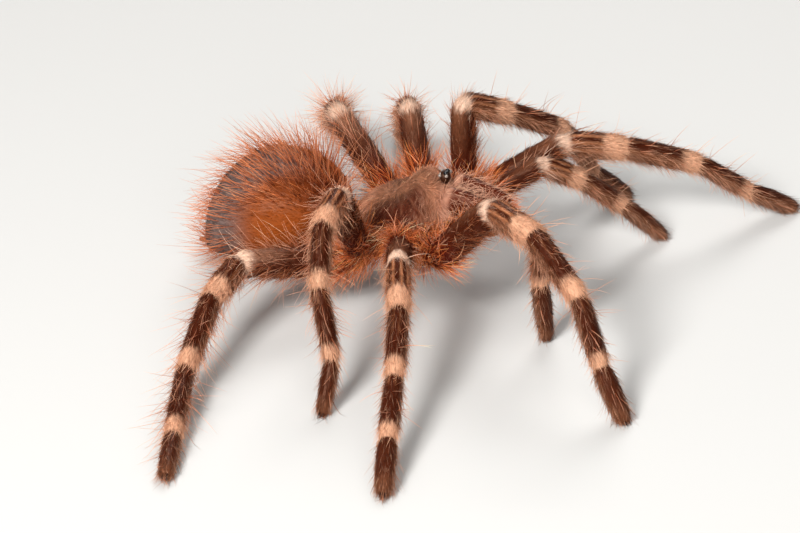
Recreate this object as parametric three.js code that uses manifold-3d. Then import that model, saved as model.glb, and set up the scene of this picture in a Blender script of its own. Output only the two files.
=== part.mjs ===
// An adult tarantula (Acanthoscurria geniculata) standing on eight legs and both palps.
// Millimetres, +Z up. The head points along +X, and the animal's left side is +Y.
// Every solid reaches out to the tips of the coat; the hairs themselves are not modelled.

import * as THREE from 'three';
import { mergeVertices } from 'three/addons/utils/BufferGeometryUtils.js';
import Module from 'manifold-3d';

const wasm = await Module();
wasm.setup();

// ---------- driving dimensions ----------

const GAP = 0.3; // clear space between neighbouring solids
const BODY_HEIGHT = 17.9; // middle of the coxae above the floor
const PROSOMA_PITCH = 10; // degrees, head up
const TOE_HEIGHT = 1.6; // centre line of a tarsus at its tip
const LIMB_SIDES = 10;
const CAP_STEPS = 2;
const BODY_STEPS = 2;
const COXA_SHARE = 0.8; // of the way from the middle of the sternum to the socket
const COXA_SLANT = 0.6; // how much of the socket's distance ahead counts in that way

const CARAPACE = {
  length: 27,
  width: 24,
  margin: 1.6, // height of its edge over the middle of the coxae
  under: 0.8, // depth below that edge
  rise: 5.0,
  headRise: 5.6,
  headCentre: 7.4,
  headSpread: 42, // the larger, the longer the head's rise
  headWidth: 0.55, // as a share of the half width
  fullness: 0.8, // the smaller, the steeper the sides
  squareness: 0.85, // 1 is an oval in plan, and less has corners
  brow: 6, // the larger, the steeper the face below the eyes
  taper: 0.3, // share of the width lost at the front
};
const STERNUM = { halfLength: 11, halfWidth: 8, halfHeight: 3, x: 0.5, z: -1.4 };
const ABDOMEN = {
  length: 45,
  width: 37,
  above: 17,
  below: 11.4,
  swell: 0.1, // share of the width gained at the rear and lost at the front
  droop: 6.5, // how far the rear end hangs below the axis
  firm: 0.85, // share of the droop that the underside keeps clear of
  tuck: 1, // how far the droop draws the rear end forwards
  corner: 0.18, // fullness of the rear end underneath
  distance: 21.2, // from the waist to its middle
  pitch: -12,
  yaw: -6,
};
const PEDICEL = { x: -14, z: 3, drop: 3.2, radius: 2.0, length: 9 };
const TUBERCLE = { x: 10.8, z: 10.2, length: 2.6, width: 3.3, rise: 1.6 };
const MOUND = { sunk: 0.35, gather: 0.8, hug: 1.6, float: 0.68 }; // how the eyes sit on the tubercle
const EYES = [
  { x: 0.64, y: 0.66, radius: 0.55 },
  { x: 0.94, y: 1.4, radius: 0.4 },
  { x: -0.64, y: 1.36, radius: 0.4 },
  { x: -0.68, y: 0.68, radius: 0.28 },
];
const CHELICERA = { x: 12.2, y: 2.9, z: 4.5, length: 10, radii: [2.6, 2.6, 2.0], pitch: -22, deep: 1.6 };
const FANG = { back: 0.6, length: 8.5, radius: 1.0, middle: 0.75, tip: 0.28, droop: 1.4, fold: 0.4 };
const SPINNERET = {
  length: 6.5,
  radii: [1.5, 1.3, 0.8],
  inset: 4, // ahead of the abdomen's rear end
  y: 2.6,
  z: -7.6,
  azimuth: 172,
  elevation: 8,
};

// One row for each pair of limbs. The socket is in the frame of the prosoma, on the left side.
// Radii are half widths at the start, middle and end; deep is a section's height over its width.
const PAIRS = {
  palp: {
    socket: [14, 6.8, -0.8],
    coxa: { azimuth: 38, radii: [2.3, 2.5, 2.3] },
    segments: {
      femur: { length: 16, radii: [1.9, 2.5, 2.5], deep: 1.12 },
      patella: { length: 11, radii: [2.5, 2.7, 2.4], deep: 1.1 },
      tibia: { length: 12.5, radii: [2.4, 2.5, 2.2], deep: 1.05 },
      tarsus: { length: 12.6, radii: [2.2, 2.4, 1.9], deep: 1.0 },
    },
  },
  1: {
    socket: [9.5, 12.6, 0],
    coxa: { azimuth: 48, radii: [2.6, 3.1, 2.9] },
    segments: {
      femur: { length: 22.2, radii: [3.0, 3.3, 2.9], deep: 1.22 },
      patella: { length: 13.6, radii: [2.9, 3.1, 2.8], deep: 1.15 },
      tibia: { length: 17.7, radii: [2.7, 2.75, 2.45], deep: 1.12 },
      metatarsus: { length: 15.4, radii: [2.3, 2.5, 2.2], deep: 1.0 },
      tarsus: { length: 11.1, radii: [2.3, 2.6, 2.2], deep: 0.95 },
    },
  },
  2: {
    socket: [3.4, 14.4, 0],
    coxa: { azimuth: 77, radii: [2.6, 3.0, 2.9] },
    segments: {
      femur: { length: 19.6, radii: [2.7, 3.2, 2.8], deep: 1.2 },
      patella: { length: 12.6, radii: [2.8, 2.95, 2.7], deep: 1.15 },
      tibia: { length: 16.1, radii: [2.5, 2.6, 2.3], deep: 1.12 },
      metatarsus: { length: 14.9, radii: [2.2, 2.45, 2.15], deep: 1.0 },
      tarsus: { length: 11.3, radii: [2.2, 2.5, 2.1], deep: 0.95 },
    },
  },
  3: {
    socket: [-3.8, 14.4, 0],
    coxa: { azimuth: 105, radii: [2.6, 3.0, 2.9] },
    segments: {
      femur: { length: 18.2, radii: [2.9, 3.3, 2.8], deep: 1.2 },
      patella: { length: 11.1, radii: [2.8, 2.95, 2.6], deep: 1.12 },
      tibia: { length: 13.9, radii: [2.5, 2.5, 2.3], deep: 1.1 },
      metatarsus: { length: 15.6, radii: [2.2, 2.3, 2.1], deep: 1.0 },
      tarsus: { length: 10.6, radii: [2.0, 2.2, 1.9], deep: 0.95 },
    },
  },
  4: {
    socket: [-10.8, 12, -1.5],
    coxa: { azimuth: 134, radii: [2.6, 3.2, 3.0] },
    segments: {
      femur: { length: 25, radii: [3.0, 3.4, 2.9], deep: 1.2 },
      patella: { length: 12.1, radii: [2.9, 3.05, 2.7], deep: 1.15 },
      tibia: { length: 18.2, radii: [2.6, 2.7, 2.4], deep: 1.12 },
      metatarsus: { length: 19.7, radii: [2.3, 2.4, 2.2], deep: 1.0 },
      tarsus: { length: 11.6, radii: [2.1, 2.3, 2.0], deep: 0.95 },
    },
  },
};

// The stance: azimuth from straight ahead towards the limb's own side, and elevation, in degrees.
// The tarsus has no elevation, because it comes down until its tip reaches the floor.
// A shift moves the limb's socket forwards, outwards and up, and its coxa follows.
const STANCE = {
  leg_r1: {
    pair: 1,
    side: -1,
    shift: [2.5, 2.4, -3],
    azimuth: [9, 29, 35, 35, 33],
    elevation: [46, -4, -25, -65],
  },
  leg_r2: { pair: 2, side: -1, azimuth: [66, 68, 73, 75, 74], elevation: [20, -21, -27, -25] },
  leg_r3: {
    pair: 3,
    side: -1,
    shift: [-3.5, 0, 0],
    azimuth: [85, 85, 75, 54, 90],
    elevation: [68, -4, -41, -62],
  },
  leg_r4: {
    pair: 4,
    side: -1,
    shift: [-1.5, 0, -3.2],
    azimuth: [138, 97, 87, 73, 71],
    elevation: [14, -10, -26, -12],
  },
  leg_l1: {
    pair: 1,
    side: 1,
    shift: [1.5, 0, -2],
    azimuth: [36, 28, 29, 36, 37],
    elevation: [23, -12, -21, -40],
  },
  leg_l2: {
    pair: 2,
    side: 1,
    shift: [2.8, 1.0, -1.0],
    azimuth: [85, 47, 48, 51, 52],
    elevation: [82, -27, -32, -64],
  },
  leg_l3: { pair: 3, side: 1, azimuth: [121, 120, 119, 118, 118], elevation: [44, -27, -38, -42] },
  leg_l4: { pair: 4, side: 1, azimuth: [146, 122, 117, 115, 113], elevation: [31, -27, -33, -28] },
  palp_l: { pair: 'palp', side: 1, azimuth: [37, 41, 38, 37], elevation: [23, -35, -43] },
  palp_r: { pair: 'palp', side: -1, azimuth: [18, 22, 23, 23], elevation: [31, -6, -95] },
};

const COLOURS = {
  leg: 0x2e1d17,
  tarsus: 0x35241d,
  carapace: 0x4b372d,
  abdomen: 0x7a4128,
  sternum: 0x2a1a15,
  chelicera: 0x5c3323,
  fang: 0x120c0a,
  eye: 0x0b0a0a,
};

// ---------- materials and solids ----------

function hairy(colour) {
  return new THREE.MeshStandardMaterial({ color: colour, roughness: 0.85, metalness: 0 });
}

function glossy(colour) {
  return new THREE.MeshStandardMaterial({ color: colour, roughness: 0.25, metalness: 0 });
}

function solidFrom(geometry) {
  const bare = geometry.clone();
  bare.deleteAttribute('normal');
  bare.deleteAttribute('uv');
  const merged = mergeVertices(bare, 1e-4);
  const vertProperties = new Float32Array(merged.attributes.position.array);
  const triVerts = new Uint32Array(merged.index.array);
  return new wasm.Manifold(new wasm.Mesh({ numProp: 3, vertProperties, triVerts }));
}

function geometryFrom(solid) {
  const mesh = solid.getMesh();
  const geometry = new THREE.BufferGeometry();
  geometry.setAttribute('position', new THREE.BufferAttribute(mesh.vertProperties, 3));
  geometry.setIndex(new THREE.BufferAttribute(mesh.triVerts, 1));
  geometry.computeVertexNormals();
  return geometry;
}

function meshOf(name, solid, material) {
  const mesh = new THREE.Mesh(geometryFrom(solid), material);
  mesh.name = name;
  return mesh;
}

// Keeps the side of a plane that its normal points to, half a gap away from it.
function trim(solid, point, normal) {
  return solid.trimByPlane(normal.toArray(), normal.dot(point) + GAP / 2);
}

// ---------- directions and limb segments ----------

const radians = THREE.MathUtils.degToRad;
const ONE = new THREE.Vector3(1, 1, 1);

// Unit vector at an azimuth and an elevation, on the side given by 1 (left) or -1 (right).
function heading(azimuth, elevation, side) {
  const a = radians(azimuth);
  const e = radians(elevation);
  return new THREE.Vector3(Math.cos(e) * Math.cos(a), side * Math.cos(e) * Math.sin(a), Math.sin(e));
}

// Turns +Y to the heading, and +Z to the back of the limb.
function limbTurn(azimuth, elevation, side) {
  const along = heading(azimuth, elevation, side);
  const back = heading(azimuth, elevation + 90, side);
  const across = new THREE.Vector3().crossVectors(along, back);
  return new THREE.Quaternion().setFromRotationMatrix(new THREE.Matrix4().makeBasis(across, along, back));
}

// Profile of a segment from 0 to its length, with a half-round cap past each end.
function limbProfile(length, [start, middle, end]) {
  const points = [];
  for (let i = 0; i <= CAP_STEPS; i++) {
    const angle = (Math.PI / 2) * (i / CAP_STEPS - 1);
    points.push(new THREE.Vector2(i === 0 ? 0 : start * Math.cos(angle), start * Math.sin(angle)));
  }
  for (let i = 1; i < BODY_STEPS; i++) {
    const t = i / BODY_STEPS;
    const straight = start * (1 - t) + end * t;
    const swell = (middle - (start + end) / 2) * 4 * t * (1 - t);
    points.push(new THREE.Vector2(straight + swell, length * t));
  }
  for (let i = 0; i <= CAP_STEPS; i++) {
    const angle = (Math.PI / 2) * (i / CAP_STEPS);
    const half = i === CAP_STEPS ? 0 : end * Math.cos(angle);
    points.push(new THREE.Vector2(half, length + end * Math.sin(angle)));
  }
  return points;
}

function limbSolid({ length, radii, deep = 1 }) {
  const geometry = new THREE.LatheGeometry(limbProfile(length, radii), LIMB_SIDES);
  geometry.scale(1, 1, deep);
  return solidFrom(geometry);
}

// ---------- the prosoma's own frame ----------

const prosoma = new THREE.Group();
prosoma.position.set(0, 0, BODY_HEIGHT);
prosoma.rotation.y = radians(-PROSOMA_PITCH);
prosoma.updateMatrixWorld();

const toProsoma = prosoma.quaternion.clone().invert();

function socketOf(limb) {
  const [x, y, z] = PAIRS[limb.pair].socket;
  const [forwards, outwards, up] = limb.shift ?? [0, 0, 0];
  return new THREE.Vector3(x + forwards, limb.side * (y + outwards), z + up);
}

// The coxa's inner end stays in the sternum whatever the limb does.
function coxaInner(limb) {
  const { coxa, socket } = PAIRS[limb.pair];
  const [x, y, z] = socket;
  const length = COXA_SHARE * Math.hypot(x * COXA_SLANT, y);
  const inward = heading(coxa.azimuth, 0, limb.side).multiplyScalar(-length);
  return new THREE.Vector3(x, limb.side * y, z).add(inward);
}

// ---------- the stance: joints and headings of one limb ----------

function limbFrames(limb) {
  const segments = Object.entries(PAIRS[limb.pair].segments);
  let joint = prosoma.localToWorld(socketOf(limb));
  return segments.map(([part, { length, radii, deep }], i) => {
    const drop = Math.asin(Math.min(1, (joint.z - TOE_HEIGHT) / length));
    const elevation = limb.elevation[i] ?? THREE.MathUtils.radToDeg(-drop);
    const azimuth = limb.azimuth[i];
    const along = heading(azimuth, elevation, limb.side);
    const from = joint;
    joint = from.clone().addScaledVector(along, length);
    const turn = limbTurn(azimuth, elevation, limb.side);
    return { part, length, radii, deep, from, along, turn };
  });
}

function bisector(before, after) {
  return before.clone().add(after).normalize();
}

function coxaHeading(limb) {
  return socketOf(limb).sub(coxaInner(limb)).normalize();
}

// One mesh for each segment, mitred to its neighbours and cut flat where it stands on the floor.
function limbMeshes(name, limb) {
  const frames = limbFrames(limb);
  const coxa = coxaHeading(limb).applyQuaternion(prosoma.quaternion);
  return frames.map((frame, i) => {
    const inward = frame.turn.clone().invert();
    const before = i === 0 ? coxa : frames[i - 1].along;
    const start = bisector(before, frame.along).applyQuaternion(inward);
    let solid = trim(limbSolid(frame), new THREE.Vector3(), start);
    if (i < frames.length - 1) {
      const end = bisector(frame.along, frames[i + 1].along).applyQuaternion(inward).negate();
      solid = trim(solid, new THREE.Vector3(0, frame.length, 0), end);
    }
    const up = new THREE.Vector3(0, 0, 1).applyQuaternion(inward);
    solid = solid.trimByPlane(up.toArray(), -frame.from.z);
    const colour = frame.part === 'tarsus' ? COLOURS.tarsus : COLOURS.leg;
    const mesh = meshOf(`${name}_${frame.part}`, solid, hairy(colour));
    mesh.position.copy(frame.from);
    mesh.quaternion.copy(frame.turn);
    return mesh;
  });
}

// ---------- body solids ----------

// A sphere whose every vertex is moved by a function of its place on the unit sphere.
function sculpted(place, around = 22, down = 12) {
  const geometry = new THREE.SphereGeometry(1, around, down);
  geometry.rotateX(Math.PI / 2);
  const position = geometry.attributes.position;
  const point = new THREE.Vector3();
  for (let i = 0; i < position.count; i++) {
    point.fromBufferAttribute(position, i);
    place(point);
    position.setXYZ(i, point.x, point.y, point.z);
  }
  return solidFrom(geometry);
}

const squared = (value, power) => Math.sign(value) * Math.abs(value) ** power;

// Low dome, squarish in plan, narrower and higher towards the head, with a nearly flat underside.
function carapaceSolid(clearance = 0) {
  return sculpted((p) => {
    const ring = Math.hypot(p.x, p.y) || 1;
    const reach = ring ** CARAPACE.fullness;
    const x = reach * squared(p.x / ring, CARAPACE.squareness);
    const y = reach * squared(p.y / ring, CARAPACE.squareness);
    const taper = 1 - CARAPACE.taper * Math.max(0, x) ** 2;
    const ahead = (x * CARAPACE.length) / 2 - CARAPACE.headCentre;
    const head = Math.exp(-(ahead ** 2) / CARAPACE.headSpread) * Math.exp(-((y / CARAPACE.headWidth) ** 2));
    const upper = p.z > 0;
    const crown = upper ? CARAPACE.headRise * head * (1 - ring ** CARAPACE.brow) : 0;
    p.x = x * (CARAPACE.length / 2 + clearance);
    p.y = y * taper * (CARAPACE.width / 2 + clearance);
    p.z = CARAPACE.margin + p.z * ((upper ? CARAPACE.rise : CARAPACE.under) + clearance) + crown;
  });
}

// Egg, wider behind its middle and lower underneath than above, with a rear end that hangs.
function abdomenSolid(clearance = 0) {
  return sculpted((p) => {
    const back = Math.max(0, -p.x);
    const low = Math.max(0, -p.z);
    const wider = 1 - ABDOMEN.swell * p.x;
    const fuller = 1 + ABDOMEN.corner * back * low;
    const sag = ABDOMEN.droop * (1 - ABDOMEN.firm * low) * back ** 2;
    p.x = p.x * fuller * (ABDOMEN.length / 2 + clearance) + ABDOMEN.tuck * back ** 2;
    p.y *= wider * ABDOMEN.width / 2 + clearance;
    p.z = p.z * fuller * ((p.z > 0 ? ABDOMEN.above : ABDOMEN.below) + clearance) - sag;
  });
}

// A low plate with the coxae of all ten limbs joined to it.
function sternumSolid(clearance = 0) {
  const plate = (p) => {
    p.x = p.x * (STERNUM.halfLength + clearance) + STERNUM.x;
    p.y *= STERNUM.halfWidth + clearance;
    p.z = p.z * (STERNUM.halfHeight + clearance) + STERNUM.z;
  };
  let body = sculpted(plate, 16, 8);
  for (const limb of Object.values(STANCE)) {
    const inner = coxaInner(limb);
    const length = inner.distanceTo(socketOf(limb));
    const turn = new THREE.Quaternion().setFromUnitVectors(new THREE.Vector3(0, 1, 0), coxaHeading(limb));
    const leg = limbFrames(limb)[0].along.applyQuaternion(toProsoma);
    const end = bisector(coxaHeading(limb), leg).applyQuaternion(turn.clone().invert()).negate();
    const radii = PAIRS[limb.pair].coxa.radii.map((radius) => radius + clearance);
    const piece = trim(limbSolid({ length, radii }), new THREE.Vector3(0, length, 0), end);
    body = body.add(piece.transform(new THREE.Matrix4().compose(inner, turn, ONE).toArray()));
  }
  return body;
}

function cheliceraSolid(side, clearance = 0) {
  const { x, y, z, length, pitch, deep } = CHELICERA;
  const radii = CHELICERA.radii.map((radius) => radius + clearance);
  const from = new THREE.Vector3(x, side * y, z);
  const place = new THREE.Matrix4().compose(from, limbTurn(0, pitch, side), ONE);
  return limbSolid({ length, radii, deep }).transform(place.toArray());
}

// A thin cone that lies back under its chelicera and droops in the middle.
function fangSolid(side) {
  const { x, y, z, length, pitch, deep, radii } = CHELICERA;
  const tip = heading(0, pitch, side).multiplyScalar(length).add(new THREE.Vector3(x, side * y, z));
  const profile = limbProfile(FANG.length, [FANG.radius, FANG.middle, FANG.tip]);
  const cone = solidFrom(new THREE.LatheGeometry(profile, 8));
  const bent = cone.warp((p) => {
    p[2] -= FANG.droop * Math.sin((Math.PI * p[1]) / FANG.length);
  });
  const start = tip.add(new THREE.Vector3(FANG.back, 0, -radii[2] * deep - FANG.radius));
  const turn = limbTurn(180, -pitch * FANG.fold, side);
  return bent.transform(new THREE.Matrix4().compose(start, turn, ONE).toArray());
}

function tubercleSolid() {
  const { x, z, length, width, rise } = TUBERCLE;
  let mound = sculpted((p) => p.set(p.x * length / 2, p.y * width / 2, p.z * rise), 16, 8);
  for (const eye of EYES) {
    for (const side of [1, -1]) {
      const aside = Math.hypot((eye.x * MOUND.hug) / length, (eye.y * MOUND.hug) / width);
      const lift = Math.sqrt(1 - aside ** 2) * rise * MOUND.float;
      const ball = new THREE.SphereGeometry(eye.radius, 7, 5);
      ball.translate(eye.x, side * eye.y * MOUND.gather, lift);
      mound = mound.add(solidFrom(ball));
    }
  }
  return mound.translate([x, 0, z - rise * MOUND.sunk]);
}

// The frame of the abdomen: straight back from the waist, slightly down and to one side.
const abdomenFrame = new THREE.Group();
abdomenFrame.rotation.set(0, radians(ABDOMEN.pitch), radians(ABDOMEN.yaw), 'ZYX');
abdomenFrame.position.copy(prosoma.localToWorld(new THREE.Vector3(PEDICEL.x, 0, PEDICEL.z)));
abdomenFrame.translateX(-ABDOMEN.distance);
abdomenFrame.updateMatrixWorld();

// The waist fills the space between the two halves of the body and stays clear of both.
function pedicelSolid(neighbours) {
  const { x, z, drop, length, radius } = PEDICEL;
  const geometry = new THREE.CylinderGeometry(radius, radius, length, 12);
  geometry.rotateZ(Math.PI / 2);
  geometry.translate(x, 0, z - drop);
  const whole = solidFrom(geometry).transform(prosoma.matrixWorld.toArray());
  const pieces = neighbours.reduce((rest, solid) => rest.subtract(solid), whole).decompose();
  return pieces.sort((a, b) => b.volume() - a.volume())[0];
}

function spinneretMesh(suffix, side) {
  const { length, radii, inset, y, z, azimuth, elevation } = SPINNERET;
  const from = new THREE.Vector3(inset - ABDOMEN.length / 2, side * y, z);
  const place = new THREE.Matrix4().compose(from, limbTurn(azimuth, elevation, side), ONE);
  const solid = limbSolid({ length, radii }).transform(place.toArray()).subtract(abdomenSolid(GAP));
  return meshOf(`spinneret_${suffix}`, solid, hairy(COLOURS.abdomen));
}

function bodyMeshes() {
  const carapace = carapaceSolid();
  const grownCarapace = carapaceSolid(GAP);
  let sternum = sternumSolid().subtract(grownCarapace);
  for (const side of [1, -1]) {
    sternum = sternum.subtract(cheliceraSolid(side, GAP));
  }
  prosoma.add(meshOf('carapace', carapace, hairy(COLOURS.carapace)));
  prosoma.add(meshOf('sternum', sternum, hairy(COLOURS.sternum)));
  prosoma.add(meshOf('eye_tubercle', tubercleSolid().subtract(grownCarapace), glossy(COLOURS.eye)));
  for (const [suffix, side] of [['l', 1], ['r', -1]]) {
    const chelicera = cheliceraSolid(side).subtract(grownCarapace);
    prosoma.add(meshOf(`chelicera_${suffix}`, chelicera, hairy(COLOURS.chelicera)));
    const fang = fangSolid(side).subtract(cheliceraSolid(side, GAP));
    prosoma.add(meshOf(`fang_${suffix}`, fang, glossy(COLOURS.fang)));
  }
  const toAbdomen = abdomenFrame.matrixWorld.clone().invert().multiply(prosoma.matrixWorld);
  const abdomen = abdomenSolid().subtract(grownCarapace.transform(toAbdomen.toArray()));
  abdomenFrame.add(meshOf('abdomen', abdomen, hairy(COLOURS.abdomen)));
  abdomenFrame.add(spinneretMesh('l', 1), spinneretMesh('r', -1));
  const neighbours = [
    grownCarapace.transform(prosoma.matrixWorld.toArray()),
    sternumSolid(GAP).transform(prosoma.matrixWorld.toArray()),
    abdomenSolid(GAP).transform(abdomenFrame.matrixWorld.toArray()),
  ];
  tarantula.add(meshOf('pedicel', pedicelSolid(neighbours), hairy(COLOURS.sternum)));
}

// ---------- the whole animal ----------

const tarantula = new THREE.Group();
tarantula.add(prosoma, abdomenFrame);
bodyMeshes();

for (const [name, limb] of Object.entries(STANCE)) {
  tarantula.add(...limbMeshes(name, limb));
}

// The origin is on the floor, under the middle of the animal's box.
const reach = new THREE.Box3().setFromObject(tarantula, true);
const middle = reach.getCenter(new THREE.Vector3());
tarantula.position.set(-middle.x, -middle.y, -reach.min.z);

export default tarantula;
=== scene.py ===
"""A life-size museum model of an adult giant white-knee tarantula, standing on a pale floor.

One skin covers the whole animal. Over it lie coats of solid hairs: a short velvet, longer bristles,
and the long hair of the abdomen and of the leg bases. Eyes, fangs and claws are pieces of their own.
All shapes are worked out in millimetres and put into the meshes in metres.
"""
import math
from functools import partial
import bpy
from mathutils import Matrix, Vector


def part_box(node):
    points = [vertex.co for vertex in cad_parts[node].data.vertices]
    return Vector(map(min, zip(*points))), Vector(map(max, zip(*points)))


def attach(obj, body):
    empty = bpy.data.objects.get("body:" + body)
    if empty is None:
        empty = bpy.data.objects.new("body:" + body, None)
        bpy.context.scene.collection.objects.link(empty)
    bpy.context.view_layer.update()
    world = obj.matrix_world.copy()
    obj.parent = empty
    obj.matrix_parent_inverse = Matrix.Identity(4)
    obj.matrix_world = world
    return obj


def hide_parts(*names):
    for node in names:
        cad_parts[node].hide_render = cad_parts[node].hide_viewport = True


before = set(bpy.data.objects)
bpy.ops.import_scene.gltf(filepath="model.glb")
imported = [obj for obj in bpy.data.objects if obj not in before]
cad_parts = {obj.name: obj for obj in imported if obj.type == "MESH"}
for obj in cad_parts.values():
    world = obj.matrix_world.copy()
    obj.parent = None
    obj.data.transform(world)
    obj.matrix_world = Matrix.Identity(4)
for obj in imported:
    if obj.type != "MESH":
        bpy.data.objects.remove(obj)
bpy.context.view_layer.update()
from types import SimpleNamespace as Facts
import bpy
import numpy as np
from mathutils import Matrix

MM = 0.001
DENSITY = 1.0

# ---------- driving dimensions, in millimetres and degrees ----------

BODY_HEIGHT = 17.9
PROSOMA_PITCH = 10
TOE_HEIGHT = 1.6
# How far the skin of a toe, the skin of the belly, a claw and a hair stay above the floor.
SOLE, BELLY, CLAW_FLOOR, HAIR_FLOOR = 0.3, 0.8, 0.05, 0.04
# Depths of the short coats, from the skin to the outline.
LEG_COAT, PROSOMA_COAT, SPINNERET_COAT = 0.55, 0.5, 0.3
ABDOMEN_COAT = Facts(ends=3.6, sides=3.2, back=4.0, belly=1.6)

CARAPACE = Facts(length=27, width=24, margin=1.6, rise=5.0, below=0.8, fullness=0.8, squareness=0.85,
                 taper=0.3, head_rise=5.6, head_centre=7.4, head_spread=42, head_width=0.55)
PIT = Facts(back=2.0, depth=0.75, length=0.7, width=1.8)
RAYS = Facts(depth=0.45, turn=0.5, start=(1.5, 4), end=(7.5, 10.5))
GROOVE = Facts(depth=0.5, ahead=3.0, bow=0.10, width=0.8, start=(2.0, 4.5))
STERNUM = Facts(half=(10.6, 7.6, 2.7), middle=(0.5, 0, -1.3))
ABDOMEN = Facts(length=45, width=37, above=17, below=11.4, swell=0.1, droop=6.5, firm=0.85, tuck=1,
                corner=0.18, distance=21.2, pitch=-12, yaw=-6)
WAIST = Facts(x=-14, z=3, half=(6.5, 2.0, 2.0), middle=(-13.5, 0, 0.2))
TUBERCLE = Facts(x=10.8, z=10.2, length=2.6, width=3.3, rise=1.6, sunk=0.62)
CHELICERA = Facts(x=12.2, y=2.9, z=4.5, length=10, radii=(2.6, 2.6, 2.0), pitch=-22, deep=1.6,
                  root_back=2.0, root_up=0.9, root_length=2.2)
SPINNERET = Facts(length=5.7, radii=(1.5, 1.3, 0.8), inset=6, y=2.6, z=-7.6, azimuth=172, elevation=8)
FANG = Facts(back=0.6, sunk=0.4, rise=9.6, length=8.5, radii=(1.0, 0.28), droop=1.4)
CLAW = Facts(back=0.7, aside=0.45, up=0.35, dip=0.25, length=1.5, radii=(0.22, 0.05), droop=0.25)
# Each row is an eye on both sides: how far ahead, how far aside, its radius.
EYES = ((0.64, 0.66, 0.55), (0.94, 1.4, 0.40), (-0.64, 1.36, 0.40), (-0.68, 0.68, 0.28))
EYE_SEAT = Facts(inwards=0.8, slope=1.6, rise=0.68, sunk=0.5)

# A limb's bend at a joint, from the shorter segment; its pinch there; the roundings of its ends.
BEND_SHARE, BEND_LEAST = 0.16, 0.3
PINCH, PINCH_LENGTH = 0.1, 0.7
TIP_LENGTH, TIP_POWER, ROOT_LENGTH = 1.25, 2.4, 1.5

# Sockets are in the frame of the prosoma, on the left. A segment is its length, its half widths at
# the start, middle and end, and its height over its width. A coxa's length follows from its ends.
COXA_SHARE, COXA_SLANT = 0.8, 0.6
LEG_PARTS = ("coxa", "femur", "patella", "tibia", "metatarsus", "tarsus")
PALP_PARTS = LEG_PARTS[:4] + LEG_PARTS[5:]
PAIRS = {
    "palp": Facts(socket=(14, 6.8, -0.8), coxa_azimuth=38, segments=(
        (None, (2.3, 2.5, 2.3), 1.0), (16, (1.9, 2.5, 2.5), 1.12), (11, (2.5, 2.7, 2.4), 1.1),
        (12.5, (2.4, 2.5, 2.2), 1.05), (12.6, (2.2, 2.4, 1.9), 1.0))),
    "1": Facts(socket=(9.5, 12.6, 0), coxa_azimuth=48, segments=(
        (None, (2.6, 3.1, 2.9), 1.0), (22.2, (3.0, 3.3, 2.9), 1.22), (13.6, (2.9, 3.1, 2.8), 1.15),
        (17.7, (2.7, 2.75, 2.45), 1.12), (15.4, (2.3, 2.5, 2.2), 1.0), (11.1, (2.3, 2.6, 2.2), 0.95))),
    "2": Facts(socket=(3.4, 14.4, 0), coxa_azimuth=77, segments=(
        (None, (2.6, 3.0, 2.9), 1.0), (19.6, (2.7, 3.2, 2.8), 1.2), (12.6, (2.8, 2.95, 2.7), 1.15),
        (16.1, (2.5, 2.6, 2.3), 1.12), (14.9, (2.2, 2.45, 2.15), 1.0), (11.3, (2.2, 2.5, 2.1), 0.95))),
    "3": Facts(socket=(-3.8, 14.4, 0), coxa_azimuth=105, segments=(
        (None, (2.6, 3.0, 2.9), 1.0), (18.2, (2.9, 3.3, 2.8), 1.2), (11.1, (2.8, 2.95, 2.6), 1.12),
        (13.9, (2.5, 2.5, 2.3), 1.1), (15.6, (2.2, 2.3, 2.1), 1.0), (10.6, (2.0, 2.2, 1.9), 0.95))),
    "4": Facts(socket=(-10.8, 12, -1.5), coxa_azimuth=134, segments=(
        (None, (2.6, 3.2, 3.0), 1.0), (25, (3.0, 3.4, 2.9), 1.2), (12.1, (2.9, 3.05, 2.7), 1.15),
        (18.2, (2.6, 2.7, 2.4), 1.12), (19.7, (2.3, 2.4, 2.2), 1.0), (11.6, (2.1, 2.3, 2.0), 0.95))),
}

# Pair, side (+1 left, -1 right), azimuths from straight ahead to the limb's own side, elevations.
# Where elevations run out, a segment comes down until its end is at TOE_HEIGHT.
STANCE = {
    "leg_r1": ("1", -1, (9, 29, 35, 35, 33), (46, -4, -25, -65)),
    "leg_r2": ("2", -1, (66, 68, 73, 75, 74), (20, -21, -27, -25)),
    "leg_r3": ("3", -1, (85, 85, 75, 54, 90), (68, -4, -41, -62)),
    "leg_r4": ("4", -1, (138, 97, 87, 73, 71), (14, -10, -26, -12)),
    "leg_l1": ("1", 1, (36, 28, 29, 36, 37), (23, -12, -21, -40)),
    "leg_l2": ("2", 1, (85, 47, 48, 51, 52), (82, -27, -32, -64)),
    "leg_l3": ("3", 1, (121, 120, 119, 118, 118), (44, -27, -38, -42)),
    "leg_l4": ("4", 1, (146, 122, 117, 115, 113), (31, -27, -33, -28)),
    "palp_l": ("palp", 1, (37, 41, 38, 37), (23, -35, -43)),
    "palp_r": ("palp", -1, (18, 22, 23, 23), (31, -6, -95)),
}
# How far a socket moves forwards, outwards and up.
SHIFTS = {"leg_r1": (2.5, 2.4, -3), "leg_r3": (-3.5, 0, 0), "leg_r4": (-1.5, 0, -3.2),
          "leg_l1": (1.5, 0, -2), "leg_l2": (2.8, 1.0, -1.0)}

# ---------- colours, linear ----------

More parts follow.
